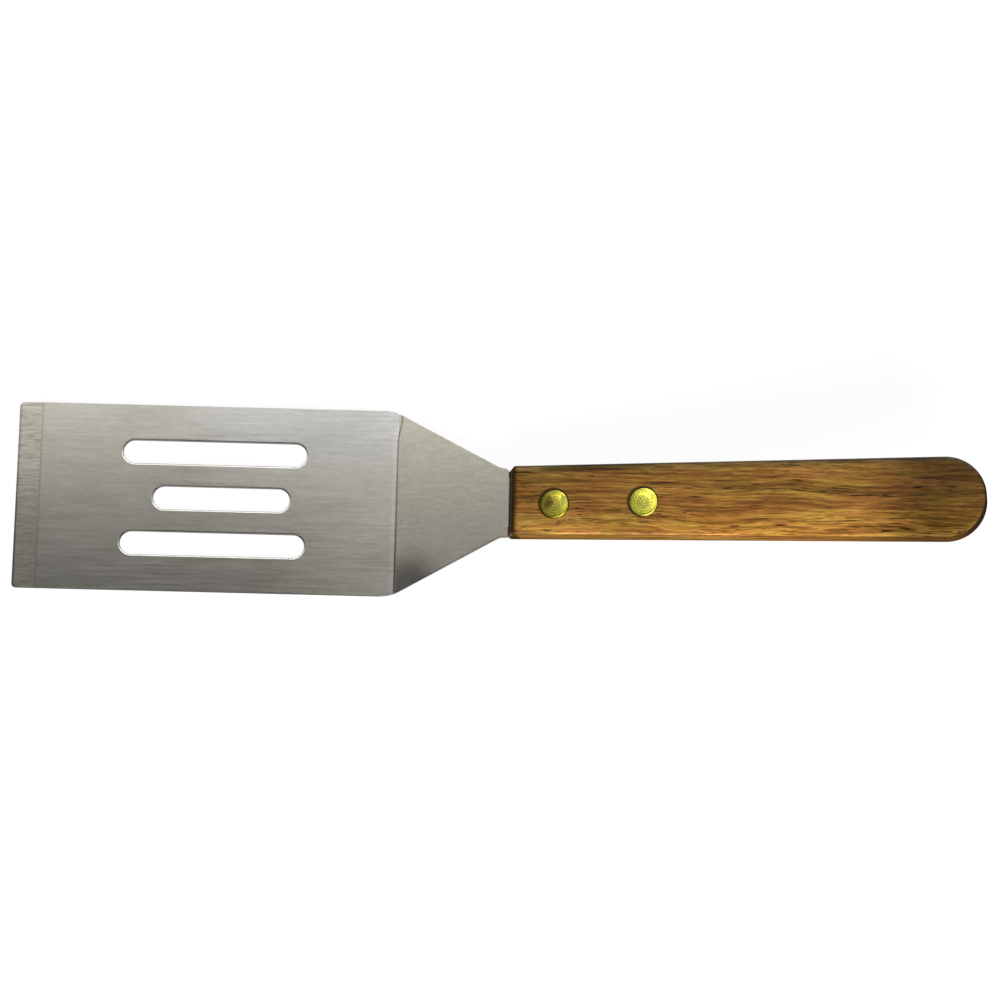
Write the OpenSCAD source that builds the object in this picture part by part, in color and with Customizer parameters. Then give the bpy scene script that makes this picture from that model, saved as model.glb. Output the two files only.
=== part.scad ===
// Slotted spatula: a stamped steel blade and tang, a one-piece wooden handle and two brass compression rivets.
// The blade lies flat on the XY plane and points towards -X. The handle rises towards +X.
// The origin is on the underside and the centre line, where the flat blade ends and the fold begins.

/* [Blade] */
// Width of the blade, side to side
blade_w = 57; // [45:0.5:80]
// Length of the flat blade, from its leading edge to the fold
blade_l = 115; // [100:0.5:150]
// Thickness of the sheet
sheet_t = 1.2; // [0.8:0.1:2]
// Length of the ground bevel behind the leading edge
bevel_l = 7.3; // [3:0.1:12]
// Thickness left at the leading edge
edge_t = 0.4; // [0.2:0.05:0.7]
// Corner radius at the leading edge
lead_r = 1.3; // [0.5:0.1:6]
// Radius where the blade's sides turn into the shoulder
rear_r = 12; // [4:0.5:20]

/* [Slots] */
// Width of each slot
slot_w = 7; // [5:0.1:9]
// Distance between the centre lines of neighbouring slots
slot_pitch = 14; // [11:0.1:16]
// Length of the two outer slots
outer_slot_l = 55.6; // [30:0.1:65]
// Length of the middle slot
middle_slot_l = 41.3; // [20:0.1:60]
// Steel between the fold and the outer slots
outer_slot_back = 27.3; // [10:0.1:30]
// Steel between the fold and the middle slot
middle_slot_back = 32.1; // [10:0.1:35]

/* [Shoulder and neck] */
// Angle by which the shoulder and the handle rise from the blade
fold_angle = 11; // [4:1:30]
// Inside radius of the fold
fold_r = 1.5; // [0.8:0.1:5]
// Distance along the slope from the fold to the front of the handle
shoulder_l = 34.8; // [32:0.1:60]
// Length of the straight neck in front of the handle
neck_l = 2.8; // [2.6:0.1:8]
// Width of the neck
neck_w = 21.2; // [18.5:0.1:22]
// How far each side of the blade is drawn in where it meets the fold
shoulder_inset = 0.6; // [0.1:0.05:2]
// Radius where the shoulder's slanting side runs into the neck
neck_r = 3.5; // [1:0.5:12]

/* [Tang] */
// Width of the tang inside the handle
tang_w = 15; // [10:0.5:17]
// Length of the tang inside the handle
tang_l = 51; // [46:0.5:60]
// Corner radius at the end of the tang and at the end of the neck
tang_r = 1.6; // [0.5:0.1:2.5]

/* [Handle] */
// Length of the handle
handle_l = 142; // [115:0.2:170]
// Thickness of the handle
handle_t = 11; // [10:0.5:16]
// Width at the front of the handle
front_w = 20.7; // [20:0.1:25]
// Width at the tail of the handle, where its half round end begins
tail_w = 24.2; // [21:0.1:30]
// Corner radius of the handle's front, seen from above
front_corner_r = 0.8; // [0.4:0.1:3]
// Angle by which the handle's front face leans back from upright, towards its upper edge
front_rake = 6.7; // [0:0.1:9]
// Rounding of the handle's edges all round its front face
front_edge_r = 0.7; // [0.3:0.1:2]
// Rounding of the handle's long edges, once it has grown to its full size
side_edge_r = 1.8; // [0.8:0.1:5]
// Length over which the rounding of the long edges grows
edge_growth_l = 48; // [20:1:80]
// Rounding of the edges at the tail
tail_edge_r = 1.4; // [0.5:0.1:5]

/* [Rivets] */
// Diameter of the rivet heads
head_d = 8.4; // [7:0.1:10]
// Thickness of a head at its rim
head_rim_t = 1.1; // [0.8:0.1:1.4]
// Height of the crown of a head over its rim
head_crown = 0.25; // [0.05:0.05:0.5]
// Chamfer round the rim of a head
head_chamfer = 0.2; // [0.05:0.05:0.4]
// How far the rim of a head stands out of the wood
head_proud = 0.15; // [0:0.05:0.5]
// Outside diameter of the hollow half's shank
tube_d = 5; // [4:0.1:6]
// Length of the hollow half's shank, from under its head
tube_l = 7.2; // [5.5:0.1:8]
// Diameter of the solid half's shank
shank_d = 3.4; // [2.4:0.1:3.8]
// Length of the solid half's shank, from under its head
shank_l = 7.8; // [6.5:0.1:8]
// Chamfer at the tip of the solid shank
shank_chamfer = 0.4; // [0.1:0.05:0.6]
// Distance from the front of the handle to the first rivet
rivet_front = 14.5; // [8:0.1:16]
// Distance between the two rivets
rivet_pitch = 26.8; // [18:0.2:29]
// How far the first rivet sits to the -Y side of the centre line
front_rivet_side = 1.4; // [-2:0.1:2]
// How far the second rivet sits to the -Y side of the centre line
rear_rivet_side = 1; // [-2:0.1:2]

/* [Fits] */
// Clearance between the tang's faces and the slot in the handle
tang_face_gap = 0.04; // [0.02:0.01:0.15]
// Clearance between the tang's edges and the slot in the handle
tang_side_gap = 0.1; // [0.05:0.05:0.5]
// Clearance between the end of the tang and the end of its slot
tang_end_gap = 1; // [0.2:0.1:4]
// Gap between the end of the neck and the front of the handle
neck_gap = 0.3; // [0.3:0.1:1.2]
// Clearance round a rivet head in its counterbore
head_gap = 0.2; // [0.1:0.05:0.4]
// Clearance round the hollow shank in the wood
bore_gap = 0.1; // [0.05:0.05:0.3]
// Clearance round the hollow shank in the tang
tang_hole_gap = 0.15; // [0.1:0.05:0.3]
// Clearance between the solid shank and the hollow one
shank_gap = 0.02; // [0.01:0.01:0.05]

/* [Hidden] */
$fn = 64;

// The overrun of every cut past the face that it opens
overrun = 1;

// Half widths of the steel outline where it meets the fold, at the neck and in the tang
blade_half = blade_w / 2;
fold_half = blade_half - shoulder_inset;
neck_half = neck_w / 2;
tang_half = tang_w / 2;

// The fold: its outer radius, where its shoulder side ends and the overlap of the trims there
fold_outer_r = fold_r + sheet_t;
fold_run = fold_outer_r * sin(fold_angle);
fold_rise = fold_outer_r * (1 - cos(fold_angle));
half_fold = fold_run / 2;
fold_steps = 8;
trim_overlap = fold_run / 5;

// Places along the sheet when it is laid out flat, from the middle of the fold
lead_end = -blade_l - half_fold;
neck_start = shoulder_l - neck_l + half_fold;
neck_end = shoulder_l - neck_gap + half_fold;
tang_end = shoulder_l + tang_l + half_fold;

// The slanting side meets the blade's side at a corner a little ahead of the fold
slant_slope = (fold_half - neck_half) / neck_start;
corner_x = -shoulder_inset / slant_slope;
slant_angle = atan(slant_slope);

// The round between the slanting side and the neck ends before the round of the neck's end begins
neck_run = neck_end - neck_start - tang_r;
neck_round_r = min(neck_r, neck_run / tan(slant_angle / 2));

// The handle's taper, its half round tail and the places of its rivets
tail_r = tail_w / 2;
tail_x = handle_l - tail_r;
side_angle = atan((tail_w - front_w) / 2 / tail_x);
side_edge_points = 9;
tail_arc_points = 25;
front_corner_points = 4;
round_steps = 5;
rivet_places = [
    [rivet_front, -front_rivet_side],
    [rivet_front + rivet_pitch, -rear_rivet_side]
];

// The handle's front face leans by the slope's angle, so that it stands upright when the blade is flat,
// and by its own rake
front_lean = tan(fold_angle + front_rake);

// The rivets: the counterbore's depth, and the heights of the head's parts over its seat
seat_depth = head_rim_t - head_proud;
crown_steps = 6;

// Removes the sharp tip of a corner at v outside a circle that touches the two sides.
// The sides leave the corner at the angles a and b, and b is less than half a turn on from a.
module corner_tip(v, a, b, r) {
    half = (b - a) / 2;
    reach = r / tan(half);
    middle = (a + b) / 2;
    centre = v + r / sin(half) * [cos(middle), sin(middle)];
    difference() {
        polygon([v, v + reach * [cos(a), sin(a)], v + reach * [cos(b), sin(b)]]);
        translate(centre)
            circle(r, $fn = 128);
    }
}

// Both sides of the tool get the same corner
module both_sides() {
    children();
    mirror([0, 1, 0])
        children();
}

// A slot with round ends, along X from x0
module slot_outline(x0, length, width) {
    r = width / 2;
    translate([x0 + r, -r])
        square([length - width, width]);
    for (x = [x0 + r, x0 + length - r])
        translate([x, 0])
            circle(r);
}

// The whole steel outline laid flat, from the middle of the fold
module steel_outline() {
    difference() {
        polygon([
            [lead_end, blade_half],
            [corner_x, blade_half],
            [neck_start, neck_half],
            [neck_end, neck_half],
            [neck_end, tang_half],
            [tang_end, tang_half],
            [tang_end, -tang_half],
            [neck_end, -tang_half],
            [neck_end, -neck_half],
            [neck_start, -neck_half],
            [corner_x, -blade_half],
            [lead_end, -blade_half]
        ]);
        both_sides() {
            corner_tip([lead_end, -blade_half], 0, 90, lead_r);
            corner_tip([corner_x, -blade_half], slant_angle, 180, rear_r);
            corner_tip([neck_end, -neck_half], 90, 180, tang_r);
            corner_tip([tang_end, -tang_half], 90, 180, tang_r);
        }
    }
    both_sides()
        corner_tip([neck_start, -neck_half], 180 + slant_angle, 360, neck_round_r);
}

// All that lies round the outline between two places along the sheet
module outline_waste(s0, s1) {
    difference() {
        translate([s0, -blade_w])
            square([s1 - s0, 2 * blade_w]);
        steel_outline();
    }
}

module blade_slots() {
    for (side = [-1, 1])
        translate([0, side * slot_pitch])
            slot_outline(-outer_slot_back - outer_slot_l, outer_slot_l, slot_w);
    slot_outline(-middle_slot_back - middle_slot_l, middle_slot_l, slot_w);
}

// The wedge that the grinder takes off the top of the leading edge
module bevel_cut() {
    drop = sheet_t - edge_t;
    slope = drop / bevel_l;
    translate([0, blade_w, 0])
        rotate([90, 0, 0])
            linear_extrude(2 * blade_w)
                polygon([
                    [-blade_l + bevel_l, sheet_t],
                    [-blade_l - overrun, edge_t - overrun * slope],
                    [-blade_l - overrun, sheet_t + overrun],
                    [-blade_l + bevel_l, sheet_t + overrun]
                ]);
}

// The frame of the slope: X runs up the shoulder from the end of the fold, Z is square to the sheet
module on_slope() {
    translate([fold_run, 0, fold_rise])
        rotate([0, -fold_angle, 0])
            children();
}

// The frame of the handle: the origin is in the middle of the handle's front face
module on_handle() {
    on_slope()
        translate([shoulder_l, 0, sheet_t / 2])
            children();
}

// Points along the fold in the side view, at the distance r from its centre line
function fold_arc(r) = [
    for (i = [0:fold_steps])
        let (a = fold_angle * i / fold_steps)
        [r * sin(a), fold_outer_r - r * cos(a)]
];

function reversed(points) = [for (i = [len(points) - 1:-1:0]) points[i]];

// A place on the slope in the side view: x along the slope, z square to the sheet
function slope_place(x, z) = [
    fold_run + x * cos(fold_angle) - z * sin(fold_angle),
    fold_rise + x * sin(fold_angle) + z * cos(fold_angle)
];

// The bent sheet at its full width, before it is trimmed to the outline
module bent_sheet() {
    end = shoulder_l + tang_l;
    translate([0, blade_half, 0])
        rotate([90, 0, 0])
            linear_extrude(blade_w)
                polygon(concat(
                    [[-blade_l, 0]],
                    fold_arc(fold_outer_r),
                    [slope_place(end, 0), slope_place(end, sheet_t)],
                    reversed(fold_arc(fold_r)),
                    [[-blade_l, sheet_t]]
                ));
}

module blade() {
    color([0.72, 0.71, 0.68])
        difference() {
            bent_sheet();
            translate([half_fold, 0, -overrun])
                linear_extrude(sheet_t + 2 * overrun)
                    outline_waste(lead_end - overrun, trim_overlap);
            on_slope()
                translate([-half_fold, 0, -overrun])
                    linear_extrude(sheet_t + 2 * overrun)
                        outline_waste(0, tang_end + overrun);
            translate([0, 0, -overrun])
                linear_extrude(sheet_t + 2 * overrun)
                    blade_slots();
            bevel_cut();
            for (place = rivet_places)
                on_slope()
                    translate([shoulder_l + place[0], place[1], -overrun])
                        cylinder(h = sheet_t + 2 * overrun, r = tube_d / 2 + tang_hole_gap);
        }
}

// The handle's outline from above, one entry a point: place, outward direction and edge rounding.
// It runs from the front along the +Y side, round the tail and back along the -Y side.
function half_width(x) = front_w / 2 + x * tan(side_angle);

function grown_r(x) =
    front_edge_r + (side_edge_r - front_edge_r) * sin(90 * min(1, x / edge_growth_l));

function side_points() = [
    for (i = [0:side_edge_points - 1])
        let (
            f = i / (side_edge_points - 1),
            x = front_corner_r + (tail_x - front_corner_r) * (f * f + f) / 2
        )
        [[x, half_width(x)], 90 + side_angle, grown_r(x)]
];

function corner_points() = [
    for (i = [0:front_corner_points - 1])
        let (a = 180 - (90 - side_angle) * i / front_corner_points)
        [
            [front_corner_r, half_width(front_corner_r) - front_corner_r] + front_corner_r * [cos(a), sin(a)],
            a,
            front_edge_r
        ]
];

function tail_r_at(a) = tail_edge_r + (side_edge_r - tail_edge_r) * pow(abs(sin(a)), 3);

function tail_points() = [
    for (i = [1:tail_arc_points - 2])
        let (a = 90 + side_angle - (180 + 2 * side_angle) * i / (tail_arc_points - 1))
        [[tail_x, 0] + tail_r * [cos(a), sin(a)], a, tail_r_at(a)]
];

function mirrored(points) = [
    for (i = [len(points) - 1:-1:0])
        [[points[i][0][0], -points[i][0][1]], -points[i][1], points[i][2]]
];

function handle_rim() =
    let (side = concat(corner_points(), side_points()))
    concat(side, tail_points(), mirrored(side));

// One ring of the handle's skin: the rim drawn in and lifted by the rounding at the angle t
function rim_ring(rim, t, sign) = [
    for (p = rim)
        let (
            r = p[2],
            inset = r * (1 - cos(t)),
            z = sign * (handle_t / 2 - r + r * sin(t)),
            lean = p[0][0] <= front_corner_r ? z * front_lean : 0,
            place = p[0] - inset * [cos(p[1]), sin(p[1])]
        )
        [place[0] + lean, place[1], z]
];

// The handle's body: the rounded rim lofted from the lower face to the upper one
module handle_body() {
    rim = handle_rim();
    n = len(rim);
    rings = concat(
        [for (k = [round_steps:-1:0]) rim_ring(rim, 90 * k / round_steps, -1)],
        [for (k = [0:round_steps]) rim_ring(rim, 90 * k / round_steps, 1)]
    );
    m = len(rings);
    walls = [
        for (k = [0:m - 2], i = [0:n - 1])
            let (j = (i + 1) % n)
            [k * n + i, k * n + j, (k + 1) * n + j, (k + 1) * n + i]
    ];
    lower = [[for (i = [n - 1:-1:0]) i]];
    upper = [[for (i = [0:n - 1]) (m - 1) * n + i]];
    polyhedron([for (ring = rings) each ring], concat(lower, walls, upper), convexity = 4);
}

// The blind slot that takes the tang, with the cutter's round corners at its end
module tang_slot_outline() {
    end = tang_l + tang_end_gap;
    half = tang_half + tang_side_gap;
    difference() {
        translate([-overrun, -half])
            square([end + overrun, 2 * half]);
        both_sides()
            corner_tip([end, -half], 90, 180, tang_r);
    }
}

module handle() {
    color([0.59, 0.4, 0.2])
        on_handle()
            difference() {
                handle_body();
                translate([0, 0, -sheet_t / 2 - tang_face_gap])
                    linear_extrude(sheet_t + 2 * tang_face_gap)
                        tang_slot_outline();
                for (place = rivet_places)
                    translate([place[0], place[1], 0]) {
                        cylinder(h = handle_t + 2 * overrun, r = tube_d / 2 + bore_gap, center = true);
                        for (side = [0, 1])
                            mirror([0, 0, side])
                                translate([0, 0, handle_t / 2 - seat_depth])
                                    cylinder(h = seat_depth + overrun, r = head_d / 2 + head_gap);
                    }
            }
}

// A rivet half stands on the XY plane at its head's seat, with its head upwards and its shank down.
// The crown's height at the distance x from the axis
function crown_z(x) = head_rim_t + head_crown * (1 - pow(x / (head_d / 2 - head_chamfer), 2));

function head_profile() = [
    for (i = [0:crown_steps])
        let (x = (head_d / 2 - head_chamfer) * i / crown_steps)
        [x, crown_z(x)]
];

module rivet_male() {
    rotate_extrude()
        polygon(concat(
            head_profile(),
            [
                [head_d / 2, head_rim_t - head_chamfer],
                [head_d / 2, 0],
                [shank_d / 2, 0],
                [shank_d / 2, -shank_l + shank_chamfer],
                [shank_d / 2 - shank_chamfer, -shank_l],
                [0, -shank_l]
            ]
        ));
}

module rivet_female() {
    bore_r = shank_d / 2 + shank_gap;
    rotate_extrude()
        polygon(concat(
            head_profile(),
            [
                [head_d / 2, head_rim_t - head_chamfer],
                [head_d / 2, 0],
                [tube_d / 2, 0],
                [tube_d / 2, -tube_l],
                [bore_r, -tube_l],
                [bore_r, 0],
                [0, 0]
            ]
        ));
}

// Puts a rivet half into its counterbore: side 1 is the upper face of the handle, side -1 the lower one
module in_seat(place, side) {
    on_handle()
        translate([place[0], place[1], side * (handle_t / 2 - seat_depth)])
            rotate([side > 0 ? 0 : 180, 0, 0])
                children();
}

module front_rivet_male() {
    color([0.8, 0.72, 0.3])
        in_seat(rivet_places[0], 1)
            rivet_male();
}

module front_rivet_female() {
    color([0.8, 0.72, 0.3])
        in_seat(rivet_places[0], -1)
            rivet_female();
}

module rear_rivet_male() {
    color([0.8, 0.72, 0.3])
        in_seat(rivet_places[1], 1)
            rivet_male();
}

module rear_rivet_female() {
    color([0.8, 0.72, 0.3])
        in_seat(rivet_places[1], -1)
            rivet_female();
}

blade();
handle();
front_rivet_male();
front_rivet_female();
rear_rivet_male();
rear_rivet_female();
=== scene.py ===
# %% [markdown]
# This lesson dresses a slotted spatula for its photograph.
# The real tool has three materials: a stamped sheet of brushed steel, a handle of oiled brown wood,
# and two brass rivets that press the handle's wood onto the steel tang inside it.
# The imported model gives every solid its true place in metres, so we load it first and work around it.

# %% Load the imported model
import math

import bmesh
import bpy
from mathutils import Matrix, Vector


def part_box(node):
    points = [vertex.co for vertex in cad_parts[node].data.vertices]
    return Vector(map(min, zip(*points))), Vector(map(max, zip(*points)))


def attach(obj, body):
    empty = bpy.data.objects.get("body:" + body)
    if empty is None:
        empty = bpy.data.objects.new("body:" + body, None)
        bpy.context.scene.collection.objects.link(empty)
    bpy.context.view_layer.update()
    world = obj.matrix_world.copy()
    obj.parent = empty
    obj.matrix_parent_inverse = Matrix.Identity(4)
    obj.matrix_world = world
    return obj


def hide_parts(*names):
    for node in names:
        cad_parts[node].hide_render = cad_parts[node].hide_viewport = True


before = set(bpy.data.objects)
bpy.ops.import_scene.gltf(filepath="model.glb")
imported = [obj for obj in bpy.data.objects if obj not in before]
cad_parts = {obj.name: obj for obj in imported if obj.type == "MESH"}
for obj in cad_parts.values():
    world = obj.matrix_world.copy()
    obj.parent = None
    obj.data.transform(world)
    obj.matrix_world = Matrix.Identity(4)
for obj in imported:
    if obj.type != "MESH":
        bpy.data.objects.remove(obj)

bpy.context.view_layer.update()

# %% [markdown]
# A maker writes the drawing's sizes down once, in millimetres, and works from them.
# Blender measures in metres, so a small helper turns millimetres into metres.

# %% The drawing's sizes
MM = 0.001


def mm(*sizes):
    return tuple(size * MM for size in sizes)


sheet_t = 1.2
blade_l = 115
blade_half = 28.5
fold_half = 27.9
neck_half = 10.6
tang_half = 7.5
shoulder_l = 34.8
neck_l = 2.8
tang_l = 51
wood_gap = 0.3
slope_angle = math.radians(11)
fold_outer_r = 2.7
fold_run = fold_outer_r * math.sin(slope_angle)
fold_rise = fold_outer_r * (1 - math.cos(slope_angle))
fold_arc = fold_outer_r * slope_angle
print("The fold takes", round(fold_arc, 3), "mm of the sheet and lifts it", round(fold_rise, 3), "mm")

# %% [markdown]
# The photograph was taken from nearly straight above, a little from the side of the long edge.
# A camera is an object with a place and a turn. The three small turns below were fitted to the outline
# of the tool, and their product is the camera's turn, read backwards.

# %% The camera
reach = 900
px_per_mm = 3.29
roll, tilt, swing = (math.radians(a) for a in (-1.28, -9.90, 0.97))
aim = Vector(mm(31.7, 2.05, 0))
turn = Matrix.Rotation(roll, 3, "Z") @ Matrix.Rotation(tilt, 3, "X") @ Matrix.Rotation(swing, 3, "Y")
lens_data = bpy.data.cameras.new("photo_camera")
lens_data.sensor_width = 36
lens_data.lens = lens_data.sensor_width * px_per_mm * reach / 1000
lens_data.clip_start = 0.01
camera = bpy.data.objects.new("photo_camera", lens_data)
bpy.context.scene.collection.objects.link(camera)
back = turn.transposed()
camera.matrix_world = Matrix.Translation(aim + back @ Vector(mm(0, 0, reach))) @ back.to_4x4()
bpy.context.scene.camera = camera
bpy.context.scene.view_settings.view_transform = "Standard"
print("The camera stands at", [round(v, 3) for v in camera.matrix_world.translation])

# %% [markdown]
# Materials are networks of nodes. A few helpers keep the networks short: one adds a node and joins or sets
# its inputs, one turns a grey value into colours with a ramp, one mixes two colours and one does sums.

# %% Helpers for materials
def new_material(name):
    made = bpy.data.materials.new(name)
    made.use_nodes = True
    made.node_tree.nodes.clear()
    return made


def put(material, kind, values=None, **settings):
    made = material.node_tree.nodes.new(kind)
    for key, value in settings.items():
        setattr(made, key, value)
    for key, value in (values or {}).items():
        if isinstance(value, bpy.types.NodeSocket):
            material.node_tree.links.new(value, made.inputs[key])
        else:
            made.inputs[key].default_value = value
    return made


def ramp(material, grey, *stops):
    made = put(material, "ShaderNodeValToRGB", {"Fac": grey})
    line = made.color_ramp
    while len(line.elements) < len(stops):
        line.elements.new(0.5)
    for element, (place, shade) in zip(line.elements, stops):
        element.position = place
        element.color = (*shade, 1) if isinstance(shade, tuple) else (shade, shade, shade, 1)
    return made.outputs["Color"]


def mix(material, share, first, second, blend="MIX"):
    made = put(material, "ShaderNodeMix", data_type="RGBA", blend_type=blend)
    for key, value in ((0, share), (6, first), (7, second)):
        if isinstance(value, bpy.types.NodeSocket):
            material.node_tree.links.new(value, made.inputs[key])
        else:
            made.inputs[key].default_value = value if key == 0 else (*value, 1)
    return made.outputs[2]


def reckon(material, operation, first, second=0.0, third=0.0, clamp=False):
    made = put(material, "ShaderNodeMath", {0: first, 1: second, 2: third}, operation=operation)
    made.use_clamp = clamp
    return made.outputs[0]


def finish_material(material, shader):
    put(material, "ShaderNodeOutputMaterial", {"Surface": shader})
    print("Material", material.name, "has", len(material.node_tree.nodes), "nodes")


# %% [markdown]
# The background is plain white. A pale floor gives it, and it still keeps a faint shadow of the tool.
# To the camera, and in reflections, the floor adds a little light of its own, so it comes out white.
# Nothing brighter has to shine on the tool for that.

# %% The floor and the sky
white_floor = new_material("white_floor")
path = put(white_floor, "ShaderNodeLightPath").outputs
seen = reckon(white_floor, "MAXIMUM", path["Is Camera Ray"], path["Is Glossy Ray"])
seen = reckon(white_floor, "MAXIMUM", seen, path["Is Transmission Ray"])
paper = put(white_floor, "ShaderNodeBsdfDiffuse", {"Color": (0.09, 0.09, 0.09, 1)}).outputs[0]
glow = put(white_floor, "ShaderNodeEmission", {"Color": (1, 1, 1, 1), "Strength": 0.95}).outputs[0]
lit_paper = put(white_floor, "ShaderNodeAddShader", {0: paper, 1: glow}).outputs[0]
plain_paper = put(white_floor, "ShaderNodeBsdfDiffuse", {"Color": (0.75, 0.75, 0.75, 1)}).outputs[0]
floor_shader = put(white_floor, "ShaderNodeMixShader", {0: seen, 1: plain_paper, 2: lit_paper}).outputs[0]
finish_material(white_floor, floor_shader)

bpy.ops.object.select_all(action="DESELECT")
bpy.ops.mesh.primitive_plane_add(size=8, location=mm(30, 0, -0.1))
floor = bpy.context.object
floor.name = "studio_floor"
floor.data.materials.append(white_floor)

sky = bpy.data.worlds.new("studio_sky")
sky.use_nodes = True
bpy.context.scene.world = sky
sky.node_tree.nodes.clear()
path = put(sky, "ShaderNodeLightPath").outputs
for_eyes = put(sky, "ShaderNodeBackground", {"Color": (1, 1, 1, 1), "Strength": 1.0}).outputs[0]
for_light = put(sky, "ShaderNodeBackground", {"Color": (1, 0.985, 0.96, 1), "Strength": 0.03}).outputs[0]
both = put(sky, "ShaderNodeMixShader", {0: path["Is Camera Ray"], 1: for_light, 2: for_eyes}).outputs[0]
put(sky, "ShaderNodeOutputWorld", {"Surface": both})
print("The floor is", [round(v, 1) for v in floor.dimensions], "metres")

# %% [markdown]
# Soft light comes from wide lamps. In the photograph one stands on the side of the long edge nearest to us
# and picks out the handle's lower edge. The steel shows something else: low panels near the blade's far
# edge, which make it fade from light to dark across its width, and two faint ones far off to the sides.
# So the lamps come in groups, and light linking tells each group which pieces it shines on.

# %% The lamps
def add_lamp(name, group, place, target, size, power):
    data = bpy.data.lights.new(name, "AREA")
    data.shape = "RECTANGLE"
    data.size, data.size_y = size
    data.energy = power
    lamp = bpy.data.objects.new(name, data)
    bpy.context.scene.collection.objects.link(lamp)
    lamp.location = place
    lamp.rotation_euler = (Vector(target) - Vector(place)).to_track_quat("-Z", "Y").to_euler()
    lamp.visible_camera = False
    lamp.light_linking.receiver_collection = group
    return lamp


on_steel = bpy.data.collections.new("lit_by_the_panels")
on_rest = bpy.data.collections.new("lit_by_the_near_lamp")
on_brass = bpy.data.collections.new("lit_by_the_top_lamp")
near_lamp = add_lamp("near_lamp", on_rest, (0.22, -0.7, 0.6), (0.08, 0, 0.02), (0.6, 0.4), 13)
far_lamp = add_lamp("far_lamp", on_rest, (0.2, 0.7, 0.5), (0.08, 0, 0.02), (0.8, 0.4), 2.2)
top_lamp = add_lamp("top_lamp", on_brass, (-0.02, 0.28, 0.8), (0.08, 0, 0.02), (0.3, 0.3), 1.5)
panels = (
    add_lamp("high_panel", on_steel, (0.1, 0.2, 0.5), (-0.03, 0, 0), (0.2, 0.2), 0.24),
    add_lamp("middle_panel", on_steel, (0, 0.12, 0.12), (-0.03, 0, 0), (0.12, 0.12), 0.104),
    add_lamp("left_panel", on_steel, (-0.1, 0.12, 0.12), (-0.03, 0, 0), (0.12, 0.12), 0.094),
    add_lamp("tip_panel", on_steel, (-0.2, 0.05, 0.12), (-0.03, 0, 0), (0.12, 0.12), 0.034),
    add_lamp("side_panel", on_steel, (-0.03, -0.6, 0.22), (-0.03, 0, 0), (0.9, 0.3), 0.5),
    add_lamp("end_panel", on_steel, (0.8, 0.1, 0.35), (-0.03, 0, 0), (0.5, 0.3), 0.5),
)
on_rest.objects.link(floor)
print("Lamps:", near_lamp.name, far_lamp.name, top_lamp.name, [panel.name for panel in panels])

# %% [markdown]
# Modelling by hand in a script means: select one piece, step into edit mode, pick vertices or edges by
# where they are, and apply an operator. These helpers do the selecting, and one makes the cylinders that
# the handle, the rivets and all the drills and punches start from.

# %% Helpers for modelling
def only(piece):
    bpy.ops.object.select_all(action="DESELECT")
    piece.select_set(True)
    bpy.context.view_layer.objects.active = piece


def step_in(piece):
    only(piece)
    bpy.ops.object.mode_set(mode="EDIT")
    bpy.ops.mesh.select_mode(type="VERT")
    bpy.ops.mesh.select_all(action="DESELECT")


def step_out():
    bpy.ops.object.mode_set(mode="OBJECT")


def new_cylinder(radius, depth, place=(0, 0, 0), lean=0, sides=64):
    bpy.ops.object.select_all(action="DESELECT")
    bpy.ops.mesh.primitive_cylinder_add(
        vertices=sides, radius=radius * MM, depth=depth * MM, location=place, rotation=(0, lean, 0)
    )
    return bpy.context.object


def middle(item):
    if isinstance(item, bmesh.types.BMVert):
        return item.co
    return sum((v.co for v in item.verts), Vector()) / len(item.verts)


def pick(piece, kind, test):
    bpy.ops.mesh.select_mode(type=kind)
    bpy.ops.mesh.select_all(action="DESELECT")
    shape = bmesh.from_edit_mesh(piece.data)
    items = {"VERT": shape.verts, "EDGE": shape.edges, "FACE": shape.faces}[kind]
    count = 0
    for item in items:
        place = middle(item) / MM
        if test(item, place):
            item.select_set(True)
            count += 1
    shape.select_flush_mode()
    bmesh.update_edit_mesh(piece.data)
    return count


def finish_modifier(piece, kind, **settings):
    only(piece)
    made = piece.modifiers.new(kind.title(), kind)
    for key, value in settings.items():
        setattr(made, key, value)
    bpy.ops.object.modifier_apply(modifier=made.name)


def cut_with(piece, cutter):
    finish_modifier(piece, "BOOLEAN", operation="DIFFERENCE", solver="EXACT", object=cutter)
    bpy.data.objects.remove(cutter)


def near(value, target, slack=0.02):
    return abs(value - target) < slack


# %% [markdown]
# The blade, its shoulder, neck and tang are one stamped sheet. We draw the flat outline first, as the
# toolmaker does: a plane for the blade, an extruded edge for the shoulder, another for the neck,
# and a narrower one for the tang that goes into the wood.

# %% The flat outline of the steel
corner_s = -0.861
neck_s = shoulder_l - neck_l + fold_arc
neck_end_s = shoulder_l - wood_gap + fold_arc
tang_end_s = shoulder_l + tang_l + fold_arc

plane_half = 500
bpy.ops.object.select_all(action="DESELECT")
bpy.ops.mesh.primitive_plane_add(size=2 * plane_half * MM)
steel = bpy.context.object
steel.name = "steel_blade"
step_in(steel)
for side, place in ((-1, -blade_l), (1, corner_s)):
    pick(steel, "VERT", lambda v, p: p.x * side > 0 and near(abs(p.x), plane_half))
    bpy.ops.transform.translate(value=((place - side * plane_half) * MM, 0, 0))
pick(steel, "VERT", lambda v, p: True)
bpy.ops.transform.resize(value=(1, 2 * blade_half * MM, 1), center_override=(0, 0, 0))
pick(steel, "EDGE", lambda e, p: near(p.x, corner_s))
bpy.ops.mesh.extrude_edges_move(TRANSFORM_OT_translate={"value": mm(neck_s - corner_s, 0, 0)})
bpy.ops.transform.resize(value=(1, neck_half / blade_half, 1), center_override=(0, 0, 0))
bpy.ops.mesh.extrude_edges_move(TRANSFORM_OT_translate={"value": mm(neck_end_s - neck_s, 0, 0)})
bpy.ops.mesh.subdivide(number_cuts=2)
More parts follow.
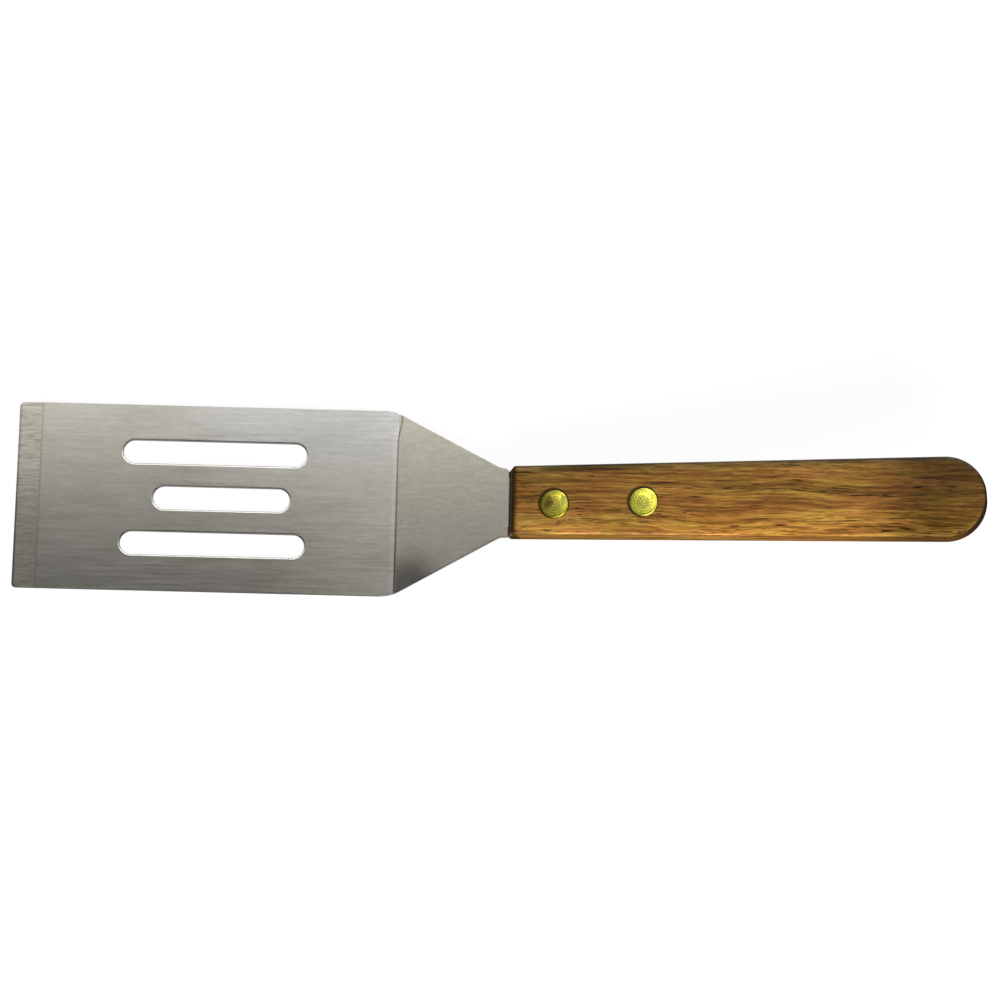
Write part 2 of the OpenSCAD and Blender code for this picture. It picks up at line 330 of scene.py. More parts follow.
pick(steel, "VERT", lambda v, p: near(p.x, neck_end_s) and abs(p.y) < neck_half / 2)
bpy.ops.transform.resize(value=(1, 3 * tang_half / neck_half, 1), center_override=(0, 0, 0))
pick(steel, "EDGE", lambda e, p: near(p.x, neck_end_s) and near(p.y, 0))
bpy.ops.mesh.extrude_edges_move(TRANSFORM_OT_translate={"value": mm(tang_end_s - neck_end_s, 0, 0)})
bpy.ops.mesh.select_all(action="SELECT")
bpy.ops.mesh.dissolve_limited(angle_limit=math.radians(1))
step_out()
print("The flat outline has", len(steel.data.vertices), "corners and", len(steel.data.polygons), "face")

# %% [markdown]
# Every corner of a stamping is round. A bevel on single vertices cuts a corner back by the same distance
# along both edges, and that distance follows from the radius and the angle that the outline turns.
# The neck's end is the one place where the two sides differ: its nearer corner is almost sharp.

# %% Round the outline's corners
slant = math.atan((fold_half - neck_half) / (neck_s - fold_arc / 2))
right_angle = math.pi / 2


def round_corner(x, y, radius, turning, steps, sides=(1, -1)):
    def is_corner(vertex, place):
        return near(place.x, x) and any(near(place.y, side * y) for side in sides)

    pick(steel, "VERT", is_corner)
    back_off = radius * math.tan(turning / 2) * MM
    bpy.ops.mesh.bevel(offset=back_off, segments=steps, profile=0.5, affect="VERTICES", clamp_overlap=False)


step_in(steel)
round_corner(-blade_l, blade_half, 1.3, right_angle, 6)
round_corner(corner_s, blade_half, 12, slant, 12)
round_corner(neck_s, neck_half, 3.5, slant, 6)
round_corner(neck_end_s, neck_half, 1.6, right_angle, 8, (1,))
round_corner(neck_end_s, neck_half, 0.4, right_angle, 4, (-1,))
round_corner(tang_end_s, tang_half, 1.6, right_angle, 4)
step_out()
print("With round corners the outline has", len(steel.data.vertices), "vertices")

# %% [markdown]
# The press folds the sheet over a narrow radius. Blender's bend tool needs a window, so we score the sheet
# across with bisect and turn all that lies beyond each score by a share of the angle,
# starting with the score furthest from the blade.

# %% Fold the sheet
folds = 8
step_in(steel)
for k in range(folds + 1):
    bpy.ops.mesh.select_all(action="SELECT")
    bpy.ops.mesh.bisect(plane_co=mm(fold_arc * k / folds, 0, 0), plane_no=(1, 0, 0))
for k in range(folds, -1, -1):
    line = fold_arc * k / folds
    share = 0.5 if k in (0, folds) else 1
    pick(steel, "VERT", lambda v, p: p.x > line + 0.001)
    lift_by = slope_angle / folds * share
    bpy.ops.transform.rotate(value=lift_by, orient_axis="Y", center_override=mm(line, 0, 0))
step_out()
print("The tang's end stands", round(max(v.co.z for v in steel.data.vertices) / MM, 2), "mm up")

# %% [markdown]
# Now the sheet gets its thickness, upwards from the face that rests on the table. The grinder's bevel at the
# leading edge is one sloping cut, so a bisect that throws away its outer side and fills the cut makes it.

# %% Thicken the sheet and grind the leading edge
edge_t = 0.4
bevel_l = 7.3
only(steel)
finish_modifier(steel, "SOLIDIFY", thickness=sheet_t * MM, offset=1, use_even_offset=True)
grind = math.atan((sheet_t - edge_t) / bevel_l)
step_in(steel)
bpy.ops.mesh.select_all(action="SELECT")
bpy.ops.mesh.normals_make_consistent(inside=False)
bpy.ops.mesh.bisect(
    plane_co=mm(-blade_l + bevel_l, 0, sheet_t),
    plane_no=(-math.sin(grind), 0, math.cos(grind)),
    clear_outer=True,
    use_fill=True,
)
step_out()
print("The sheet is", round(min(v.co.z for v in steel.data.vertices) / MM, 3), "mm at its lowest")

# %% [markdown]
# The slots are punched. The punch is a cylinder with one half pulled along, which gives the slot its round
# ends, and a boolean takes it out of the sheet. The two holes in the tang are round punches.

# %% Punch the slots and the rivet holes
slot_w = 7
slots = ((-82.9, 55.6, -14), (-73.4, 41.3, 0), (-82.9, 55.6, 14))
tang_hole_r = 2.65
rivet_spots = ((14.5, -1.4), (41.3, -1))
punch_l = 6


def punch(start, length, y):
    tool = new_cylinder(slot_w / 2, punch_l)
    step_in(tool)
    pick(tool, "VERT", lambda v, p: p.x > 0.001)
    bpy.ops.transform.translate(value=mm(length - slot_w, 0, 0))
    bpy.ops.mesh.select_all(action="SELECT")
    bpy.ops.transform.translate(value=mm(start + slot_w / 2, y, 0))
    step_out()
    return tool


for start, length, y in slots:
    cut_with(steel, punch(start, length, y))


def on_slope(x, y, z):
    return (
        (fold_run + x * math.cos(slope_angle) - z * math.sin(slope_angle)) * MM,
        y * MM,
        (fold_rise + x * math.sin(slope_angle) + z * math.cos(slope_angle)) * MM,
    )


for x, y in rivet_spots:
    place = on_slope(shoulder_l + x, y, sheet_t / 2)
    cut_with(steel, new_cylinder(tang_hole_r, punch_l, place, -slope_angle, 32))
print("The punched sheet has", len(steel.data.polygons), "faces")

# %% [markdown]
# No edge of a real sheet is perfectly sharp. The punch draws the rims of the slots down a little as it goes
# in, and then the whole sheet has been tumbled, so each thin broken edge catches the light.
# A bevel on picked edges makes the drawn rims and the shoulder's nearer edge, which use has worn round.
# A bevel modifier that works only on steep edges breaks the others all at once. Smooth shading would then
# bend the light on the big flat faces too, so those are shaded flat.

# %% Break the steel's edges
drawn_rim = 0.55
worn_round = 0.3
edge_break = 0.1


def on_slot_rim(edge, place):
    flat = all(near(v.co.z, sheet_t * MM, 1e-6) for v in edge.verts)
    wall = any(abs(face.normal.z) < 0.5 for face in edge.link_faces)
    return flat and wall and -84 < place.x < -20 and abs(place.y) < 18


def on_near_edge(edge, place):
    above = place.z > (place.x - fold_run) * math.tan(slope_angle) + fold_rise + 0.7 * sheet_t
    wall = any(abs(face.normal.z) < 0.5 for face in edge.link_faces)
    return above and wall and 0.6 < place.x < neck_end_s - 1.8 and place.y < -neck_half + 0.2


step_in(steel)
rims = pick(steel, "EDGE", on_slot_rim)
bpy.ops.mesh.bevel(offset=drawn_rim * MM, segments=5, affect="EDGES", clamp_overlap=False)
worn = pick(steel, "EDGE", on_near_edge)
bpy.ops.mesh.bevel(offset=worn_round * MM, segments=3, affect="EDGES", clamp_overlap=False)
step_out()
print("Rounded", rims, "edges round the slots and", worn, "along the shoulder")
finish_modifier(
    steel,
    "BEVEL",
    width=edge_break * MM,
    segments=2,
    limit_method="ANGLE",
    angle_limit=math.radians(40),
    use_clamp_overlap=False,
)
only(steel)
bpy.ops.object.shade_smooth_by_angle(angle=math.radians(50))
step_in(steel)
pick(steel, "FACE", lambda f, p: abs(f.normal.z) > 0.9 and f.calc_area() > 1e-5)
bpy.ops.mesh.faces_shade_flat()
step_out()
print("With broken edges it has", len(steel.data.polygons), "faces")

# %% [markdown]
# The handle is a bar of wood that widens a little towards its half round tail.
# We start from the tail: a cylinder, cut in half, whose flat side is extruded forwards and narrowed.

# %% The bar of the handle
handle_l = 142
handle_t = 11
front_half = 10.35
front_corner = 0.8
front_rake = math.radians(6.7)
tail_r = 12.1
tail_x = handle_l - tail_r

wood = new_cylinder(tail_r, handle_t, sides=96)
wood.name = "wood_handle"
step_in(wood)
bpy.ops.mesh.select_all(action="SELECT")
bpy.ops.transform.translate(value=mm(tail_x, 0, 0))
bpy.ops.mesh.bisect(plane_co=mm(tail_x, 0, 0), plane_no=(-1, 0, 0), clear_outer=True, use_fill=True)
pick(wood, "FACE", lambda f, p: near(p.x, tail_x) and f.normal.x < -0.9)
bpy.ops.mesh.extrude_region_move(TRANSFORM_OT_translate={"value": mm(-tail_x, 0, 0)})
bpy.ops.transform.resize(value=(1, front_half / tail_r, 1), center_override=(0, 0, 0))
bpy.ops.mesh.select_all(action="SELECT")
bpy.ops.mesh.normals_make_consistent(inside=False)
pick(wood, "EDGE", lambda e, p: near(p.x, 0) and near(p.z, 0) and near(abs(p.y), front_half))
bpy.ops.mesh.bevel(offset=front_corner * MM, segments=4, affect="EDGES", clamp_overlap=False)
step_out()
print("The bar is", [round(v / MM, 1) for v in wood.dimensions], "mm")

# %% [markdown]
# The long edges start crisp at the front and grow rounder along the handle, as a sander leaves them.
# A plain bevel has one width, so the rim is rounded step by step instead: the face is extruded six times,
# and each time every corner of its rim is drawn in and lifted along its own quarter circle.
# A few scores across the bar first give the rim enough corners for the rounding to grow along it.
# The front face is sawn nearly upright on the table and leans back a little, so its corners also lean by
# the slope's angle and by that rake. Two last scores let its lower edge be pushed back, because the sander
# has taken that edge off.

# %% Round the handle's edges
front_r = 0.7
side_r = 1.8
end_r = 1.4
full_at = 48


def rounding_at(place):
    if place.x > tail_x:
        across = min(1, abs(place.y) / tail_r)
        return end_r + (side_r - end_r) * across**3
    grown = math.sin(math.pi / 2 * min(1, max(0, place.x) / full_at))
    return front_r + (side_r - front_r) * grown


def outward_at(corner):
    walls = [face.normal for face in corner.link_faces if abs(face.normal.z) < 0.1]
    return sum(walls, Vector()).normalized()


def round_rim(side, steps=6):
    pick(wood, "FACE", lambda f, p: f.normal.z * side > 0.9)
    shape = bmesh.from_edit_mesh(wood.data)
    start = shape.verts.layers.float_vector.get("start") or shape.verts.layers.float_vector.new("start")
    out = shape.verts.layers.float_vector.get("out") or shape.verts.layers.float_vector.new("out")
    for corner in [v for v in shape.verts if v.select]:
        corner[start] = corner.co
        corner[out] = outward_at(corner)
    for k in range(steps + 1):
        if k:
            bpy.ops.mesh.extrude_region_move(TRANSFORM_OT_translate={"value": (0, 0, 0)})
            shape = bmesh.from_edit_mesh(wood.data)
            start = shape.verts.layers.float_vector["start"]
            out = shape.verts.layers.float_vector["out"]
        lean = math.pi / 2 * k / steps
        for corner in [v for v in shape.verts if v.select]:
            radius = rounding_at(corner[start] / MM) * MM
            corner.co = corner[start] - corner[out] * radius * (1 - math.cos(lean))
            corner.co.z = side * (handle_t / 2 * MM - radius * (1 - math.sin(lean)))
            if corner[start].x < (front_corner + 0.01) * MM:
                corner.co.x += corner.co.z * math.tan(slope_angle + front_rake)
        bmesh.update_edit_mesh(wood.data)


scores = (2.5, 5, 8, 12, 16, 21, 27, 34, 42, 52, 70, 90, 110)
step_in(wood)
for x in scores:
    bpy.ops.mesh.select_all(action="SELECT")
    bpy.ops.mesh.bisect(plane_co=mm(x, 0, 0), plane_no=(1, 0, 0))
bpy.ops.mesh.select_all(action="SELECT")
bpy.ops.mesh.dissolve_limited(angle_limit=math.radians(0.05))
round_rim(1)
round_rim(-1)
for z in (-3.0, -4.1):
    bpy.ops.mesh.select_all(action="SELECT")
    bpy.ops.mesh.bisect(plane_co=mm(0, 0, z), plane_no=(0, 0, 1))
for z, back_off in ((-4.0, 0.35), (-4.5, 0.6)):
    pick(wood, "VERT", lambda v, p: p.z < z and p.x < 0.9)
    bpy.ops.transform.translate(value=mm(back_off, 0, 0))
step_out()
for name in ("start", "out"):
    wood.data.attributes.remove(wood.data.attributes[name])
print("The rounded handle has", len(wood.data.polygons), "faces")

# %% [markdown]
# The cutter opens a blind slot for the tang in the front, and a stepped drill makes the two holes: a bore for
# the rivet's shank and a wider counterbore at each face for its head. The wood is shaded smooth, and a
# weighted normal modifier lets the largest face decide where the light goes.

# %% Cut the slot and the rivet holes
def smooth_by_area(piece, degrees):
    only(piece)
    bpy.ops.object.shade_smooth_by_angle(angle=math.radians(degrees))
    finish_modifier(piece, "WEIGHTED_NORMAL", mode="FACE_AREA", weight=100, keep_sharp=True)


def drill(piece, place, radius, depth):
    cut_with(piece, new_cylinder(radius, depth, mm(*place)))


shank_hole_r = 2.6
seat_r = 4.4
seat_depth = 0.95
pocket_l = tang_l + 1
pocket_w = 2 * tang_half + 0.2
pocket_t = sheet_t + 0.08
bpy.ops.object.select_all(action="DESELECT")
bpy.ops.mesh.primitive_cube_add(size=1, location=(0, 0, 0))
cutter = bpy.context.object
step_in(cutter)
bpy.ops.mesh.select_all(action="SELECT")
bpy.ops.transform.resize(value=mm(pocket_l + 1, pocket_w, pocket_t), center_override=(0, 0, 0))
bpy.ops.transform.translate(value=mm((pocket_l - 1) / 2, 0, 0))
pick(cutter, "EDGE", lambda e, p: near(p.x, pocket_l) and near(p.z, 0))
bpy.ops.mesh.bevel(offset=1.6 * MM, segments=6, affect="EDGES", clamp_overlap=False)
step_out()
cut_with(wood, cutter)
for x, y in rivet_spots:
    drill(wood, (x, y, 0), shank_hole_r, handle_t + 2)
    for side in (1, -1):
        drill(wood, (x, y, side * (handle_t / 2 - seat_depth + 1)), seat_r, 2)
smooth_by_area(wood, 50)
print("The handle has", len(wood.data.polygons), "faces after its holes")

# %% [markdown]
# The handle was made lying flat, with its front at the origin, because that is easy to measure.
# Now it goes up the slope. Its place is then written into its mesh, as every finished piece's must be.

# %% Put the handle in its place
handle_front = on_slope(shoulder_l, 0, sheet_t / 2)


def put_in_place(piece, place, angle):
    piece.data.transform(Matrix.Translation(place) @ Matrix.Rotation(angle, 4, "Y"))
    piece.data.update()


put_in_place(wood, handle_front, -slope_angle)
low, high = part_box("handle")
print("Solid handle box", [round(v / MM, 2) for v in (*low, *high)])
corners = [[v.co[i] for v in wood.data.vertices] for i in range(3)]
print("Wood handle box ", [round(min(c) / MM, 2) for c in corners] + [round(max(c) / MM, 2) for c in corners])

# %% [markdown]
# A compression rivet is two turned parts: a solid pin that is pressed into a hollow one.
# Each has a flat, slightly crowned head. The lathe leaves faint rings on the crown, so the head is
# built by insetting its top face again and again, and every ring is lifted to its height.

# %% Turn one rivet half of each kind
head_r = 4.2
rim_t = 1.1
crown = 0.25
chamfer = 0.2
crown_r = head_r - chamfer


def turn_head(name, shank_r, shank_l, bore_r):
    half = new_cylinder(head_r, rim_t)
    half.name = name
    step_in(half)
    bpy.ops.mesh.select_all(action="SELECT")
    bpy.ops.transform.translate(value=mm(0, 0, rim_t / 2))
    pick(half, "EDGE", lambda e, p: all(near(v.co.z, rim_t * MM, 1e-6) for v in e.verts))
    bpy.ops.mesh.bevel(offset=chamfer * MM, segments=3, affect="EDGES", clamp_overlap=False)
    pick(half, "FACE", lambda f, p: f.normal.z > 0.99 and len(f.verts) > 8)
    radius = crown_r
    for ring_r in (3.6, 3.1, 2.6, 2.1, 1.6, 1.1, 0.6, 0.2):
        bpy.ops.mesh.inset(thickness=(radius - ring_r) * MM, depth=0)
        lift = crown * ((radius / crown_r) ** 2 - (ring_r / crown_r) ** 2)
        bpy.ops.transform.translate(value=mm(0, 0, lift))
        radius = ring_r
    pick(half, "FACE", lambda f, p: f.normal.z < -0.99 and len(f.verts) > 8)
    bpy.ops.mesh.inset(thickness=(head_r - shank_r) * MM, depth=0)
    bpy.ops.mesh.extrude_region_move(TRANSFORM_OT_translate={"value": mm(0, 0, -shank_l)})
    if bore_r:
        bpy.ops.mesh.inset(thickness=(shank_r - bore_r) * MM, depth=0)
        bpy.ops.mesh.extrude_region_move(TRANSFORM_OT_translate={"value": mm(0, 0, shank_l)})
    else:
        bpy.ops.mesh.bevel(offset=0.4 * MM, segments=1, affect="EDGES", clamp_overlap=False)
    step_out()
    smooth_by_area(half, 50)
    return half


pin = turn_head("front_rivet_pin", shank_r=1.7, shank_l=7.8, bore_r=0)
tube = turn_head("front_rivet_tube", shank_r=2.5, shank_l=7.2, bore_r=1.72)
print("Pin", len(pin.data.polygons), "faces, tube", len(tube.data.polygons), "faces")

# %% [markdown]
# The pin heads show on the upper face and the tube heads on the lower one. Each half is copied with a mesh of
# its own for the second rivet, turned over where needed, and set down in its counterbore.

# %% Set the four rivet halves
def copy_of(piece, name):
    made = piece.copy()
    made.data = piece.data.copy()
    made.name = name
    bpy.context.scene.collection.objects.link(made)
    return made


rear_pin = copy_of(pin, "rear_rivet_pin")
rear_tube = copy_of(tube, "rear_rivet_tube")
seat = handle_t / 2 - seat_depth
rivet_places = {
    pin: (0, 1, "front_rivet_male"),
    tube: (0, -1, "front_rivet_female"),
    rear_pin: (1, 1, "rear_rivet_male"),
    rear_tube: (1, -1, "rear_rivet_female"),
}
for piece, (spot, side, node) in rivet_places.items():
    if side < 0:
        piece.data.transform(Matrix.Rotation(math.pi, 4, "X"))
    x, y = rivet_spots[spot]
    place = on_slope(shoulder_l + x, y, sheet_t / 2 + side * seat)
    put_in_place(piece, place, -slope_angle)
    low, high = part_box(node)
    heights = [v.co.z for v in piece.data.vertices]
    above, below = ((max(heights) - high.z) / MM, (min(heights) - low.z) / MM)
    print(piece.name, "is off by", round(above, 3), "mm at its top and", round(below, 3), "mm at its foot")

# %% [markdown]
# Scratches and wood grain are noise that is stretched along X. The places where a finish differs from the
# rest are found by measuring: a smooth step rises between two values, and a band is one step up and one
# down. Sizes on the handle and the rivets are read on the bench, before these pieces went up the slope.

# %% Helpers for textures
def times(material, first, second, clamp=False):
    return reckon(material, "MULTIPLY", first, second, clamp=clamp)


def reckon_vector(material, operation, first, second=(0, 0, 0), output="Vector"):
    return put(material, "ShaderNodeVectorMath", {0: first, 1: second}, operation=operation).outputs[output]


def parts_of(material, vector):
    return put(material, "ShaderNodeSeparateXYZ", {0: vector}).outputs


def stretched_noise(material, place, stretch, detail=3.0, roughness=0.55, distortion=0.0):
    scaled = put(material, "ShaderNodeMapping", {"Vector": place, "Scale": stretch}).outputs[0]
    made = put(
        material,
        "ShaderNodeTexNoise",
        {"Vector": scaled, "Scale": 1.0, "Detail": detail, "Roughness": roughness, "Distortion": distortion},
    )
    return made.outputs["Fac"]


def smooth_step(material, value, start, end, at_start=0.0, at_end=1.0):
    return put(
        material,
        "ShaderNodeMapRange",
        {"Value": value, "From Min": start, "From Max": end, "To Min": at_start, "To Max": at_end},
        interpolation_type="SMOOTHSTEP",
    ).outputs[0]


def band(material, value, low, high, soft_low, soft_high):
    rise = smooth_step(material, value, low - soft_low / 2, low + soft_low / 2)
    fall = smooth_step(material, value, high - soft_high / 2, high + soft_high / 2, 1.0, 0.0)
    return times(material, rise, fall)


def on_bench(material, origin):
    here = put(material, "ShaderNodeTexCoord").outputs["Object"]
    return put(
        material,
        "ShaderNodeMapping",
        {"Vector": here, "Location": origin, "Rotation": (0, -slope_angle, 0), "Scale": (MM, MM, MM)},
        vector_type="TEXTURE",
    ).outputs[0]


def raised(material, height, strength, most):
    values = {"Height": height, "Strength": strength, "Distance": most * MM}
    return put(material, "ShaderNodeBump", values).outputs["Normal"]


def paint(piece, material):
    piece.data.materials.clear()
    piece.data.materials.append(material)


# %% [markdown]
# The steel's finish starts with two measures: where a point lies, in millimetres, and which way its surface
# is turned. What isn't level is a cut edge or a rounded rim.

# %% Measure the steel
steel_finish = new_material("brushed_steel")
source = put(steel_finish, "ShaderNodeTexCoord").outputs
here = source["Object"]
in_mm = put(steel_finish, "ShaderNodeMapping", {"Vector": here, "Scale": (1000, 1000, 1000)}).outputs[0]
split = parts_of(steel_finish, in_mm)
turned = parts_of(steel_finish, source["Normal"])
how_level = reckon(steel_finish, "ABSOLUTE", turned["Z"])
print("Steel nodes so far:", len(steel_finish.node_tree.nodes))

# %% [markdown]
# Brushed steel is a mirror with fine scratches along the tool, stretched up to sixty times. Fine and coarse
# ones together make the lines, and soft clouds and a little grit change their tone. Over the blade the sheet
# is painted lighter towards its far side, a painted light, and in front of the fold a little bluer there, a
# painted reflection.

# %% The brushed colour
fine = stretched_noise(steel_finish, here, (60, 3600, 3600), 2)
coarse = stretched_noise(steel_finish, here, (35, 900, 900), 4)
cloud = stretched_noise(steel_finish, here, (45, 70, 70), 3)
grit = stretched_noise(steel_finish, here, (260, 1300, 1300), 3, 0.7)
lines = mix(steel_finish, 0.3, fine, coarse)
shade = ramp(steel_finish, lines, (0.3, (0.49, 0.467, 0.405)), (0.7, (0.60, 0.583, 0.522)))
cloud_tone = ramp(steel_finish, cloud, (0.35, 0.38), (0.65, 0.64))
grit_tone = ramp(steel_finish, grit, (0.34, 0.3), (0.66, 0.7))
shade = mix(steel_finish, 0.17, shade, cloud_tone, "OVERLAY")
shade = mix(steel_finish, 0.2, shade, grit_tone, "OVERLAY")

before = smooth_step(steel_finish, split["X"], -42.0, -8.0, 1.0, 0.0)
# Painted light: over the blade the sheet is painted lighter towards its far side.
fade = smooth_step(steel_finish, split["Y"], -27.0, 27.0, 0.83, 1.12)
shade = mix(steel_finish, before, shade, fade, "MULTIPLY")
# Painted reflection: between the blade's middle and the fold the far side is painted a little bluer.
before_fold = smooth_step(steel_finish, split["X"], -0.5, 0.3, 1.0, 0.0)
painted_cool_reflection = times(steel_finish, smooth_step(steel_finish, split["X"], -85.0, -30.0), before_fold)
painted_cool_reflection = times(steel_finish, painted_cool_reflection, smooth_step(steel_finish, split["Y"], 4.0, 22.0))
shade = mix(steel_finish, painted_cool_reflection, shade, (1.0, 1.02, 1.11), "MULTIPLY")
print("Steel nodes so far:", len(steel_finish.node_tree.nodes))

# %% [markdown]
# The leading edge was ground on a coarser wheel, which left shorter marks and a browner steel, painted
# lighter towards the far side as painted light. A thin dark burr lies where the ground face begins, and the
# last half millimetre of the edge, worn round, is painted dark as painted shade, most of all on the near
# side.

# %% The ground bevel
bevel_x = bevel_l - blade_l
ground = smooth_step(steel_finish, split["X"], bevel_x - 0.5, bevel_x + 0.3, 1.0, 0.0)
marks = stretched_noise(steel_finish, here, (130, 1500, 1500), 3, 0.7)
bench_marks = ramp(
    steel_finish, marks, (0.34, (0.36, 0.345, 0.265)), (0.5, (0.58, 0.56, 0.45)), (0.68, (0.74, 0.715, 0.6))
)
# Painted light: the ground bevel is painted lighter towards the far side.
bevel_fade = smooth_step(steel_finish, split["Y"], -14.0, 20.0, 0.72, 1.3)
bench_marks = mix(steel_finish, 1.0, bench_marks, bevel_fade, "MULTIPLY")
shade = mix(steel_finish, times(steel_finish, ground, 0.68), shade, bench_marks)
burr = band(steel_finish, split["X"], bevel_x - 0.35, bevel_x + 0.15, 0.4, 0.4)
burr = times(steel_finish, burr, smooth_step(steel_finish, marks, 0.35, 0.6, 0.0, 0.45))
shade = mix(steel_finish, burr, shade, (0.2, 0.19, 0.16))
# Painted shade: the last half millimetre of the worn round edge is painted dark, most on the near side.
painted_tip_shade = smooth_step(steel_finish, split["X"], 0.3 - blade_l, 0.9 - blade_l, 1.0, 0.0)
tip_shade_depth = smooth_step(steel_finish, split["Y"], -20.0, 29.0, 0.85, 0.35)
shade = mix(steel_finish, times(steel_finish, painted_tip_shade, tip_shade_depth), shade, (0.1, 0.1, 0.095))
print("Steel nodes so far:", len(steel_finish.node_tree.nodes))

# %% [markdown]
# A painted dark line lies in the fold, a painted shade, with a faint painted glint in front of it. Near the
# far edge the line curls away towards the handle, and the steel beside it is painted darker, a painted shade
# over the glint that the fold's curve catches. Beyond the fold the shoulder is painted a little lighter and
# yellower in cloudy patches, a painted reflection, but for a painted dark reflection in the near corner.

# %% The fold and the shoulder
curl = smooth_step(steel_finish, split["Y"], 19.0, 26.0, 0.0, 1.15)
from_fold = reckon(steel_finish, "SUBTRACT", split["X"], curl)
# Painted shade: beside the fold where it curls, the steel is painted darker over the fold's glint.
beside_line = band(steel_finish, split["X"], 0.0, 0.35, 0.1, 0.5)
painted_curl_shade = times(steel_finish, times(steel_finish, beside_line, curl, clamp=True), 0.85)
shade = mix(steel_finish, painted_curl_shade, shade, (0.25, 0.242, 0.225))
# Painted highlight: a faint glint in front of the fold line.
painted_fold_glint = band(steel_finish, from_fold, -1.2, -0.15, 0.9, 0.35)
shade = mix(steel_finish, times(steel_finish, painted_fold_glint, 0.14), shade, (0.86, 0.85, 0.82))
# Painted shade: a dark line in the fold.
painted_fold_shade = band(steel_finish, from_fold, 0.05, 0.5, 0.3, 0.35)
fold_shade_depth = smooth_step(steel_finish, split["Y"], 18.0, 24.0, 0.8, 0.68)
shade = mix(steel_finish, times(steel_finish, painted_fold_shade, fold_shade_depth), shade, (0.13, 0.1, 0.09))

# Painted reflection: beyond the fold the shoulder is painted lighter and yellower in cloudy patches.
beyond = smooth_step(steel_finish, from_fold, 0.2, 0.9)
painted_shoulder_light = stretched_noise(steel_finish, here, (50, 75, 75), 2)
painted_shoulder_light = ramp(steel_finish, painted_shoulder_light, (0.4, (1.17, 1.16, 1.06)), (0.6, (1.08, 1.08, 1.04)))
shade = mix(steel_finish, beyond, shade, painted_shoulder_light, "MULTIPLY")
# Painted reflection: a dark patch in the shoulder's near corner.
from_corner = reckon_vector(steel_finish, "DISTANCE", in_mm, (5, -25.5, 2), "Value")
painted_dark_reflection = smooth_step(steel_finish, from_corner, 3.0, 14.0, 0.8, 0.0)
shade = mix(steel_finish, times(steel_finish, painted_dark_reflection, beyond), shade, (0.16, 0.15, 0.145))
print("Steel nodes so far:", len(steel_finish.node_tree.nodes))

# %% [markdown]
# The drawn rims of the slots are painted bright where they turn to the far side, a painted highlight. The
# sheared edges are duller than the faces and are also painted dark as painted shade, but for those that face
# the far side, and the neck is painted dark where it goes into the wood, a painted shadow under the handle's
# front.

# %% The steel's edges
# Painted highlight: the slots' rims are painted bright where they turn to the far side.
painted_rim_highlight = band(steel_finish, how_level, 0.72, 0.96, 0.1, 0.04)
painted_rim_highlight = times(steel_finish, painted_rim_highlight, smooth_step(steel_finish, turned["Y"], -0.05, 0.1))
shade = mix(steel_finish, painted_rim_highlight, shade, (0.98, 0.97, 0.93))
# Painted shadow: the neck is painted dark where it goes under the handle's front.
neck_end_x = fold_run + (neck_end_s - fold_arc) * math.cos(slope_angle)
painted_gap_shade = smooth_step(steel_finish, split["X"], neck_end_x - 0.3, neck_end_x - 0.05)
shade = mix(steel_finish, painted_gap_shade, shade, (0.06, 0.045, 0.04))
# The sheared walls are duller, and painted shade makes them dark, but for the walls that face the far side.
sheared_and_shaded = smooth_step(steel_finish, how_level, 0.5, 0.8, 1.0, 0.0)
sheared_and_shaded = times(steel_finish, sheared_and_shaded, smooth_step(steel_finish, turned["Y"], 0.72, 0.95, 0.85, 0.1))
shade = mix(steel_finish, sheared_and_shaded, shade, (0.13, 0.122, 0.114))
print("Steel nodes so far:", len(steel_finish.node_tree.nodes))

# %% [markdown]
# The scratches also change the roughness and lift the surface by microns, and rounded rims are rubbed
# smoother. The shader's anisotropy spreads each reflection across the scratches. It has to be told which way
# is along, and the cross product of the surface's normal and the Y axis always points along the tool.

# %% Finish the steel
rough = smooth_step(steel_finish, lines, 0.3, 0.7, 0.35, 0.43)
rough = times(steel_finish, rough, smooth_step(steel_finish, how_level, 0.86, 0.96, 0.45, 1.0))
upright = put(steel_finish, "ShaderNodeNewGeometry").outputs["True Normal"]
shader = put(
    steel_finish,
    "ShaderNodeBsdfPrincipled",
    {
        "Base Color": shade,
        "Metallic": 1.0,
        "Roughness": rough,
        "Normal": raised(steel_finish, lines, 0.18, 0.02),
        "Tangent": reckon_vector(steel_finish, "CROSS_PRODUCT", upright, (0, 1, 0)),
        "Anisotropic": 0.6,
        "Anisotropic Rotation": 0.25,
    },
).outputs[0]
finish_material(steel_finish, shader)
paint(steel, steel_finish)

# %% [markdown]
# The wood is an open-grained brown timber with an oil finish. Its pattern is measured in millimetres along
# the handle. A slow noise lets the grain wander by a millimetre or two, and the whole plank was sawn one and
# a half degrees off its grain.

# %% Measure the wood
wood_finish = new_material("oiled_wood")
bench = on_bench(wood_finish, handle_front)
spot = parts_of(wood_finish, bench)
facing = parts_of(wood_finish, put(wood_finish, "ShaderNodeTexCoord").outputs["Normal"])
slow = put(wood_finish, "ShaderNodeMapping", {"Vector": bench, "Scale": (0.02, 0.05, 0.05)}).outputs[0]
wander = put(wood_finish, "ShaderNodeTexNoise", {"Vector": slow, "Scale": 1.0, "Detail": 2.0})
sway = reckon_vector(wood_finish, "SUBTRACT", wander.outputs["Color"], (0.5, 0.5, 0.5))
sway = reckon_vector(wood_finish, "MULTIPLY", sway, (0, 5, 5))
grain = reckon_vector(wood_finish, "ADD", bench, sway)
sawn_off = (0, 0, math.radians(1.5))
grain = put(wood_finish, "ShaderNodeMapping", {"Vector": grain, "Rotation": sawn_off}).outputs[0]
print("Wood nodes so far:", len(wood_finish.node_tree.nodes))

